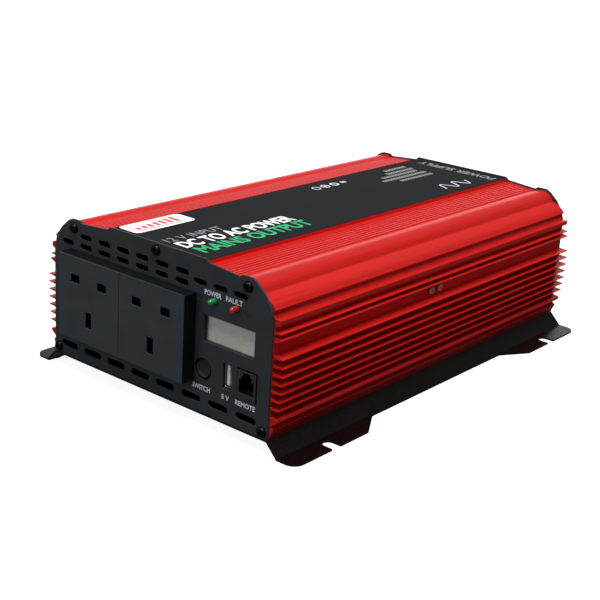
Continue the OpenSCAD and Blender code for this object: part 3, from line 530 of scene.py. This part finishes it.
def screw_set(node, name, finish, pattern, places, axis):
    """Copies one screw to each place with its head along axis, as one piece that stands for the node."""
    turn = Vector(axis).to_track_quat("Z", "Y").to_matrix().to_4x4()
    copies = []
    for number, place in enumerate(places):
        mesh = pattern.data.copy()
        mesh.transform(Matrix.Translation(place) @ turn @ Matrix.Rotation(0.3 + number, 4, "Z"))
        copy = bpy.data.objects.new(name, mesh)
        scene.collection.objects.link(copy)
        copies.append(copy)
    bpy.data.objects.remove(pattern)
    bpy.ops.object.select_all(action="DESELECT")
    for copy in copies:
        copy.select_set(True)
    bpy.context.view_layer.objects.active = copies[0]
    bpy.ops.object.join()
    piece = finished(copies[0], name, BODY_OF[node], finish, 40)
    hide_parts(node)


PLATE_SCREWS = [(0, 91.3), (66.7, 88.1), (-66.7, 88.1), (80.25, 12.8), (-80.25, 12.8)]
DECK_SCREWS = [(x, part) for x in (-74.5, 74.5) for part in (0.07, 0.35, 0.65, 0.93)]
BAND_SCREWS = (140.8, 149.5)
FAN_SCREW_STEP = 25
FAN_X, FAN_Z = -44, 46
# Node, name, finish, sizes in mm (head radius and height, shank radius and length, arm of the cross),
# places in the frame, and the way that the heads face
SCREW_SETS = [
    ("front_screws", "front_pan_screws", BLACK_ZINC, (2.95, 1.8, 1.7, 12, 1.7),
     [(x * MM, FRONT_Y, z * MM) for x, z in PLATE_SCREWS], FRONT_OUT),
    ("rear_screws", "rear_pan_screws", BLACK_ZINC, (2.95, 1.8, 1.7, 12, 1.7),
     [(x * MM, REAR_Y, z * MM) for x, z in PLATE_SCREWS], REAR_OUT),
    ("base_screws", "deck_pan_screws", BLACK_ZINC, (2.9, 1.8, 1.7, 6.2, 1.6),
     [(x * MM, FRONT_Y + part * CASE_LENGTH, 7.8 * MM) for x, part in DECK_SCREWS], DOWN),
    ("band_screws", "band_pan_screws", BRIGHT_ZINC, (2.6, 1.7, 1.5, 8.6, 1.5),
     [(84 * MM, FRONT_Y + y * MM, 59.5 * MM) for y in BAND_SCREWS], RIGHT),
    ("fan_screws", "fan_pan_screws", BLACK_ZINC, (4.2, 1.8, 2.2, 13.85, 2.1),
     [((FAN_X + x) * MM, REAR_Y + 1.85 * MM, (FAN_Z + z) * MM)
      for x in (-FAN_SCREW_STEP, FAN_SCREW_STEP) for z in (-FAN_SCREW_STEP, FAN_SCREW_STEP)], REAR_OUT),
]
for node, name, finish, sizes, places, axis in SCREW_SETS:
    screw_set(node, name, finish, pan_head(*(size * MM for size in sizes)), places, axis)


# ---------------------------------------------------------------- turned, threaded and bladed parts
def turned(profile, steps=48):
    """A closed shape turned about Z from (radius, height) points in mm that start and end on the axis."""
    bpy.ops.mesh.primitive_plane_add(size=MM)
    piece = bpy.context.object
    only(piece)
    bpy.ops.object.mode_set(mode="EDIT")
    bpy.ops.mesh.select_all(action="SELECT")
    bpy.ops.mesh.merge(type="CENTER")
    bpy.ops.transform.translate(value=(profile[0][0] * MM, 0, profile[0][1] * MM))
    for (r0, z0), (r1, z1) in zip(profile, profile[1:]):
        bpy.ops.mesh.extrude_region_move(
            TRANSFORM_OT_translate={"value": ((r1 - r0) * MM, 0, (z1 - z0) * MM)})
    bpy.ops.mesh.select_all(action="SELECT")
    bpy.ops.mesh.spin(steps=steps, angle=math.tau, center=(0, 0, 0), axis=(0, 0, 1))
    bpy.ops.mesh.select_all(action="SELECT")
    bpy.ops.mesh.remove_doubles(threshold=MERGE_GAP)
    bpy.ops.mesh.normals_make_consistent(inside=False)
    bpy.ops.object.mode_set(mode="OBJECT")
    return piece


def thread(crest, root, pitch, low, high):
    """The raised coil of a screw thread about Z, closed at both ends, in mm."""
    turns = int((high - low) / pitch) - 1
    outline = [(root - 0.3, 0.1), (crest, 0.42), (crest, 0.58), (root - 0.3, 0.9)]
    bpy.ops.mesh.primitive_plane_add(size=MM)
    coil = bpy.context.object
    for corner, (r, part) in zip((0, 1, 3, 2), outline):
        coil.data.vertices[corner].co = (r * MM, 0, (low + part * pitch) * MM)
    only(coil)
    bpy.ops.object.mode_set(mode="EDIT")
    bpy.ops.mesh.select_all(action="SELECT")
    bpy.ops.mesh.delete(type="ONLY_FACE")
    bpy.ops.object.mode_set(mode="OBJECT")
    apply_modifier(coil, "SCREW", angle=math.tau, screw_offset=pitch * MM, iterations=turns, steps=28,
                   render_steps=28, axis="Z")
    bpy.ops.object.mode_set(mode="EDIT")
    bpy.ops.mesh.select_all(action="SELECT")
    bpy.ops.mesh.remove_doubles(threshold=MERGE_GAP)
    bpy.ops.mesh.fill_holes(sides=8)
    bpy.ops.mesh.select_all(action="SELECT")
    bpy.ops.mesh.normals_make_consistent(inside=False)
    bpy.ops.object.mode_set(mode="OBJECT")
    return coil


def hex_nut(flats, low, high):
    """A hexagon nut about Z with turned chamfers on its corners, in mm."""
    tip = flats / math.sqrt(3)
    fall = (tip - flats / 2) * 0.6
    bpy.ops.mesh.primitive_cylinder_add(vertices=6, radius=tip * MM, depth=(high - low) * MM,
                                        location=(0, 0, (low + high) / 2 * MM))
    nut = bpy.context.object
    only(nut)
    bpy.ops.object.transform_apply(location=True)
    face = flats / 2 * 0.97
    cutter = turned([(0, low - 0.01), (face, low - 0.01), (tip * 1.01, low + fall),
                     (tip * 1.01, high - fall), (face, high + 0.01), (0, high + 0.01)])
    apply_modifier(nut, "BOOLEAN", operation="INTERSECT", object=cutter, solver="EXACT")
    bpy.data.objects.remove(cutter)
    return nut


def rod(radius, low, high, chamfer):
    """A round bar about Z with chamfered ends, in mm."""
    return turned([(0, low), (radius - chamfer, low), (radius, low + chamfer),
                   (radius, high - chamfer), (radius - chamfer, high), (0, high)])


def assembled(parts, axis, place):
    """Joins parts modelled about Z, then turns Z to axis and moves them to place, in metres."""
    bpy.ops.object.select_all(action="DESELECT")
    for part in parts:
        part.select_set(True)
    bpy.context.view_layer.objects.active = parts[0]
    bpy.ops.object.join()
    turn = Vector(axis).to_track_quat("Z", "Y").to_matrix().to_4x4()
    parts[0].data.transform(Matrix.Translation(place) @ turn)
    return parts[0]


# Two M8 studs: thread, round seat, clamping nut and inner shoulder, the thread cut short of the ends
studs = []
for side in ("negative", "positive"):
    studs.append(assembled([rod(3.3, -18, 22, 0.8), thread(3.98, 3.3, 1.25, -17.6, 21.6), rod(9, 5, 7, 0.4),
                            hex_nut(13, -16.8, -11), rod(6.5, -9, -5.2, 0.4)],
                           REAR_OUT, middle_at("knob_" + side, REAR_Y)))
stud_pair = assembled(studs, UP, (0, 0, 0))
finished(stud_pair, "threaded_studs", "chassis", BRASS, 40)
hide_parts("terminal_studs")

# One M5 earth bolt with a washer and a nut on each side of the plate
bolt = assembled([rod(2.05, -7.2, 16, 0.5), thread(2.48, 2.05, 0.8, -7, 15.8), rod(5.2, 0.01, 1, 0.2),
                  hex_nut(8, -5.2, -1.21), hex_nut(8, 1, 5)], REAR_OUT, middle_at("earth_stud", REAR_Y))
finished(bolt, "threaded_earth_bolt", "chassis", BRIGHT_ZINC, 40)
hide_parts("earth_stud")

# Push button: dished face in a black rim, retaining flange and plunger behind the plate
BUTTON_PROFILE = [
    (0, -8), (1.7, -8), (2, -7.7), (2, -2.6), (6.8, -2.6), (7, -2.4), (7, -1.7), (6.8, -1.5),
    (5.6, -1.5), (5.6, -1.1), (5.45, -0.75), (5, -0.3), (4.8, -0.2), (4.6, -0.24), (3.9, -0.42),
    (2.6, -0.6), (1.3, -0.69), (0, -0.72)]
BUTTON_MIDDLE = middle_at("power_button", FRONT_Y)
BUTTON_RIM = 4.8 * MM
button = assembled([turned(BUTTON_PROFILE, 64)], FRONT_OUT, BUTTON_MIDDLE)
finished(button, "dished_button", "power_button", BUTTON_ABS, 50)
second_finish(button, BLACK_SIDES_AND_GAP_SHADE, lambda face: math.hypot(face.center.x - BUTTON_MIDDLE.x,
                                                           face.center.z - BUTTON_MIDDLE.z) > BUTTON_RIM)
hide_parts("power_button")


def fan_blade():
    """One swept fan blade about Z: leant forward to its tip, twisted and cambered."""
    bpy.ops.mesh.primitive_grid_add(x_subdivisions=12, y_subdivisions=8, size=1)
    blade = bpy.context.object
    for vertex in blade.data.vertices:
        reach, chord = vertex.co.x + 0.5, vertex.co.y
        radius = 13.8 + 14.1 * reach
        wrap = math.radians(42 - 2 * reach) * chord
        lean = math.radians(16) * reach ** 1.6 + math.radians(7) * (0.25 - chord ** 2)
        rise = 12.8 + (15.6 - 1.6 * reach) * chord
        turn = wrap + lean
        vertex.co = (radius * math.cos(turn) * MM, radius * math.sin(turn) * MM, rise * MM)
    only(blade)
    apply_modifier(blade, "SOLIDIFY", thickness=1.3 * MM, offset=0)
    apply_modifier(blade, "BEVEL", width=0.4 * MM, segments=2, limit_method="ANGLE",
                   angle_limit=math.radians(50))
    return blade


# Rotor: cup shaped hub with a shallow label recess, shaft, and seven blades
hub = turned([(0, 1.2), (1.5, 1.2), (1.5, 20), (12, 20), (12, 3), (14.2, 3), (14.5, 3.3), (14.5, 21),
              (14.2, 21.7), (13.5, 22), (10.3, 22), (10.1, 21.75), (0, 21.75)], 64)
BLADE_COUNT = 7
ROTOR_DEPTH = 26.2 * MM
pattern = fan_blade()
blades = []
for number in range(BLADE_COUNT):
    mesh = pattern.data.copy()
    mesh.transform(Matrix.Rotation(math.tau * number / BLADE_COUNT, 4, "Z"))
    blade = bpy.data.objects.new("blade", mesh)
    scene.collection.objects.link(blade)
    blades.append(blade)
bpy.data.objects.remove(pattern)
rotor = assembled([hub] + blades, REAR_OUT, middle_at("fan_frame", REAR_Y - ROTOR_DEPTH))
finished(rotor, "swept_rotor", "fan_rotor", GLASS_NYLON, 40)
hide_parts("fan_rotor")

# Four spring contacts along the open side of the port's tongue
tongue = middle_at("usb_tongue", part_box("usb_tongue")[0].y)
contacts = []
for height in (-3.5, -1, 1, 3.5):
    bpy.ops.mesh.primitive_cube_add(
        size=1, location=(tongue.x + 0.25 * MM, tongue.y + 3.2 * MM, tongue.z + height * MM))
    strip = bpy.context.object
    strip.scale = (0.16 * MM, 5.2 * MM, 1.0 * MM)
    contacts.append(strip)
    only(strip)
    bpy.ops.object.transform_apply(location=True, scale=True)
    apply_modifier(strip, "BEVEL", width=0.05 * MM, segments=2)
finished(assembled(contacts, UP, (0, 0, 0)), "port_contacts", "chassis", GOLD_FLASH)


# ---------------------------------------------------------------- printed legends
FACING_FRONT = Matrix.Rotation(math.radians(90), 4, "X")
FACING_REAR = Matrix.Rotation(math.radians(180), 4, "Z") @ FACING_FRONT
ALONG_LABEL = Matrix.Rotation(math.radians(90), 4, "Z")
ACROSS_LABEL = Matrix.Rotation(math.radians(180), 4, "Z")
INK = 0.03 * MM
# Print that lies on the patch starts this many ink layers up
OVER_PATCH = (0, 0, 2.2)


def printed_text(words, turn, corner, width, height, weight=0.0):
    """Text as thin raised ink, fitted into width by height, its lower left corner at corner."""
    bpy.ops.object.text_add()
    ink = bpy.context.object
    ink.data.body = words
    ink.data.offset = weight
    ink.data.resolution_u = 4
    only(ink)
    bpy.ops.object.convert(target="MESH")
    ink = bpy.context.object
    xs = [v.co.x for v in ink.data.vertices]
    ys = [v.co.y for v in ink.data.vertices]
    low = Vector((min(xs), min(ys), 0))
    fit = Matrix.Diagonal((width / (max(xs) - min(xs)), height / (max(ys) - min(ys)), 1, 1))
    ink.data.transform(Matrix.Translation(corner) @ turn @ fit @ Matrix.Translation(-low))
    return ink


def printed_block(turn, corner, width, height):
    """A rectangle of ink with softened corners, laid like text."""
    bpy.ops.mesh.primitive_plane_add(size=1, location=(0.5, 0.5, 0))
    ink = bpy.context.object
    only(ink)
    bpy.ops.object.transform_apply(location=True)
    ink.data.transform(Matrix.Diagonal((width, height, 1, 1)))
    bpy.ops.object.mode_set(mode="EDIT")
    bpy.ops.mesh.select_all(action="SELECT")
    bpy.ops.mesh.bevel(offset=min(width, height) * 0.18, segments=3, affect="VERTICES")
    bpy.ops.object.mode_set(mode="OBJECT")
    ink.data.transform(Matrix.Translation(corner) @ turn)
    return ink


def print_layer(name, finish, parts, outward):
    """Joins ink shapes into one layer and thickens it away from the surface that it is printed on."""
    bpy.ops.object.select_all(action="DESELECT")
    for part in parts:
        part.select_set(True)
    bpy.context.view_layer.objects.active = parts[0]
    bpy.ops.object.join()
    layer = bpy.context.object
    bpy.ops.object.mode_set(mode="EDIT")
    bpy.ops.mesh.select_all(action="SELECT")
    bpy.ops.mesh.remove_doubles(threshold=0.000001)
    bpy.ops.object.mode_set(mode="OBJECT")
    apply_modifier(layer, "SOLIDIFY", thickness=INK, offset=1.0)
    layer.data.transform(Matrix.Translation(Vector(outward) * INK * 0.3))
    finished(layer, name, "chassis", finish)


def front_text(words, x, z, width, height):
    """A legend on the front plate, by the place of its lower left corner in mm."""
    return printed_text(words, FACING_FRONT, (x * MM, FRONT_Y, z * MM), width * MM, height * MM, 0.02)


print_layer("front_legends", LEGEND_INK, [
    front_text("POWER", 36.5, 76.3, 12, 2.8),
    front_text("FAULT", 51.7, 76.3, 11.6, 2.8),
    front_text("SWITCH", 29.7, 22.1, 13.1, 2.8),
    front_text("5 V", 51.2, 21.9, 5.4, 2.8),
    front_text("REMOTE", 61.1, 21.9, 13.8, 2.8),
], FRONT_OUT)


def label_text(words, across, along, width, height, weight=0.0):
    """Text that runs along the label: across is the X of its baseline, along its start, in mm."""
    return printed_text(words, ALONG_LABEL, (across * MM, FRONT_Y + along * MM, LABEL_Z),
                        width * MM, height * MM, weight)


def label_block(across, along, width, height):
    """A block of ink laid like label text."""
    return printed_block(ALONG_LABEL, (across * MM, FRONT_Y + along * MM, LABEL_Z), width * MM, height * MM)


print_layer("label_white_print", WHITE_INK,
            [label_text("DC TO AC POWER", 15.2, 8, 90, 11, 0.028)], UP)
print_layer("label_green_print", GREEN_INK,
            [label_text("MAINS OUTPUT", 27.6, 9.5, 90, 11, 0.028)], UP)
print_layer("label_patch", WHITE_INK, [label_block(-20.8, 5.5, 46, 16.2)], UP)
bars = [label_block(-25.4, 11 + 4.9 * i, 2.9, 3 + 6.2 * (i + 1) / 7) for i in range(7)]
print_layer("patch_red_bars", RED_INK, bars, OVER_PATCH)
print_layer("patch_blue_line", BLUE_INK, [label_block(-23.2, 11, 33, 1.1)], OVER_PATCH)
SPEC_STEP, SPEC_END = 3.1, 267
spec_rows = [(-25.6, 242), (-19.4, 236), (-14, 224), (-8.1, 217), (-2.2, 229)]
specs = [label_block(x, start + SPEC_STEP * i, 2.3, 3.2) for x, start in spec_rows
         for i in range(int((SPEC_END - start) / SPEC_STEP))]
print_layer("label_grey_print", GREY_INK, specs + [label_text("12 V INPUT", 2.3, 7.5, 43, 6.6)], UP)


def ring(across, along, radius, width):
    """A ring of ink on the label, or a disc where width is the radius."""
    bpy.ops.mesh.primitive_circle_add(vertices=40, radius=radius * MM, fill_type="NGON",
                                      location=(across * MM, FRONT_Y + along * MM, LABEL_Z))
    ink = bpy.context.object
    only(ink)
    bpy.ops.object.transform_apply(location=True)
    if width < radius:
        bpy.ops.object.mode_set(mode="EDIT")
        bpy.ops.mesh.select_all(action="SELECT")
        bpy.ops.mesh.inset(thickness=width * MM)
        bpy.ops.mesh.delete(type="FACE")
        bpy.ops.object.mode_set(mode="OBJECT")
    return ink


WAVE_START, WAVE_LENGTH, WAVE_REACH, WAVE_PITCH, WAVE_LINE = 236.5, 31, 5.0, 14, 1.1


def wave():
    """A sine line of ink that runs along the label."""
    bpy.ops.mesh.primitive_grid_add(x_subdivisions=72, y_subdivisions=1, size=1)
    ink = bpy.context.object
    for vertex in ink.data.vertices:
        along = WAVE_START + WAVE_LENGTH * (vertex.co.x + 0.5)
        phase = math.tau * (along - 242) / WAVE_PITCH
        slope = WAVE_REACH * math.tau / WAVE_PITCH * math.sin(phase)
        side = Vector((1, -slope, 0)).normalized() * (vertex.co.y * WAVE_LINE)
        across = 24 - WAVE_REACH * math.cos(phase) + side.x
        vertex.co = (across * MM, FRONT_Y + (along + side.y) * MM, LABEL_Z)
    return ink


print_layer("label_wave", LEGEND_INK, [wave()], UP)
print_layer("label_marks", LEGEND_INK, [
    ring(-25.5, 165.5, 3.2, 0.8), ring(-25.5, 174.5, 3.3, 1.0), ring(-25.5, 174.5, 1.2, 1.2),
    ring(-25.5, 184, 3.4, 1.5), label_block(-24, 191.5, 1.6, 3.4), label_block(-24, 194, 1.6, 3.4),
], UP)
print_layer("label_rear_print", GREY_INK, [
    printed_text("POWER SUPPLY", ACROSS_LABEL, (33 * MM, FRONT_Y + 291.5 * MM, LABEL_Z), 62 * MM, 7.5 * MM,
                 0.02)], UP)


def rear_text(words, x, z, width, height):
    """A legend on the rear plate, by the place of its lower corner at the higher X, in mm."""
    return printed_text(words, FACING_REAR, (x * MM, REAR_Y, z * MM), width * MM, height * MM, 0.012)


def rear_block(x, z, width, height):
    """A bar of ink on the rear plate, centred on x in mm."""
    return printed_block(FACING_REAR, ((x + width / 2) * MM, REAR_Y, z * MM), width * MM, height * MM)


print_layer("rear_legends", LEGEND_INK, [
    rear_text("12 V DC", 50, 66, 22, 4), rear_block(20, 62, 5, 1.1), rear_block(58, 62, 5, 1.1),
    rear_block(58, 60.05, 1.1, 5), rear_block(50, 22, 0.7, 3.2), rear_block(50, 21, 6, 0.7),
    rear_block(50, 19.6, 4, 0.7), rear_block(50, 18.2, 2, 0.7)], REAR_OUT)
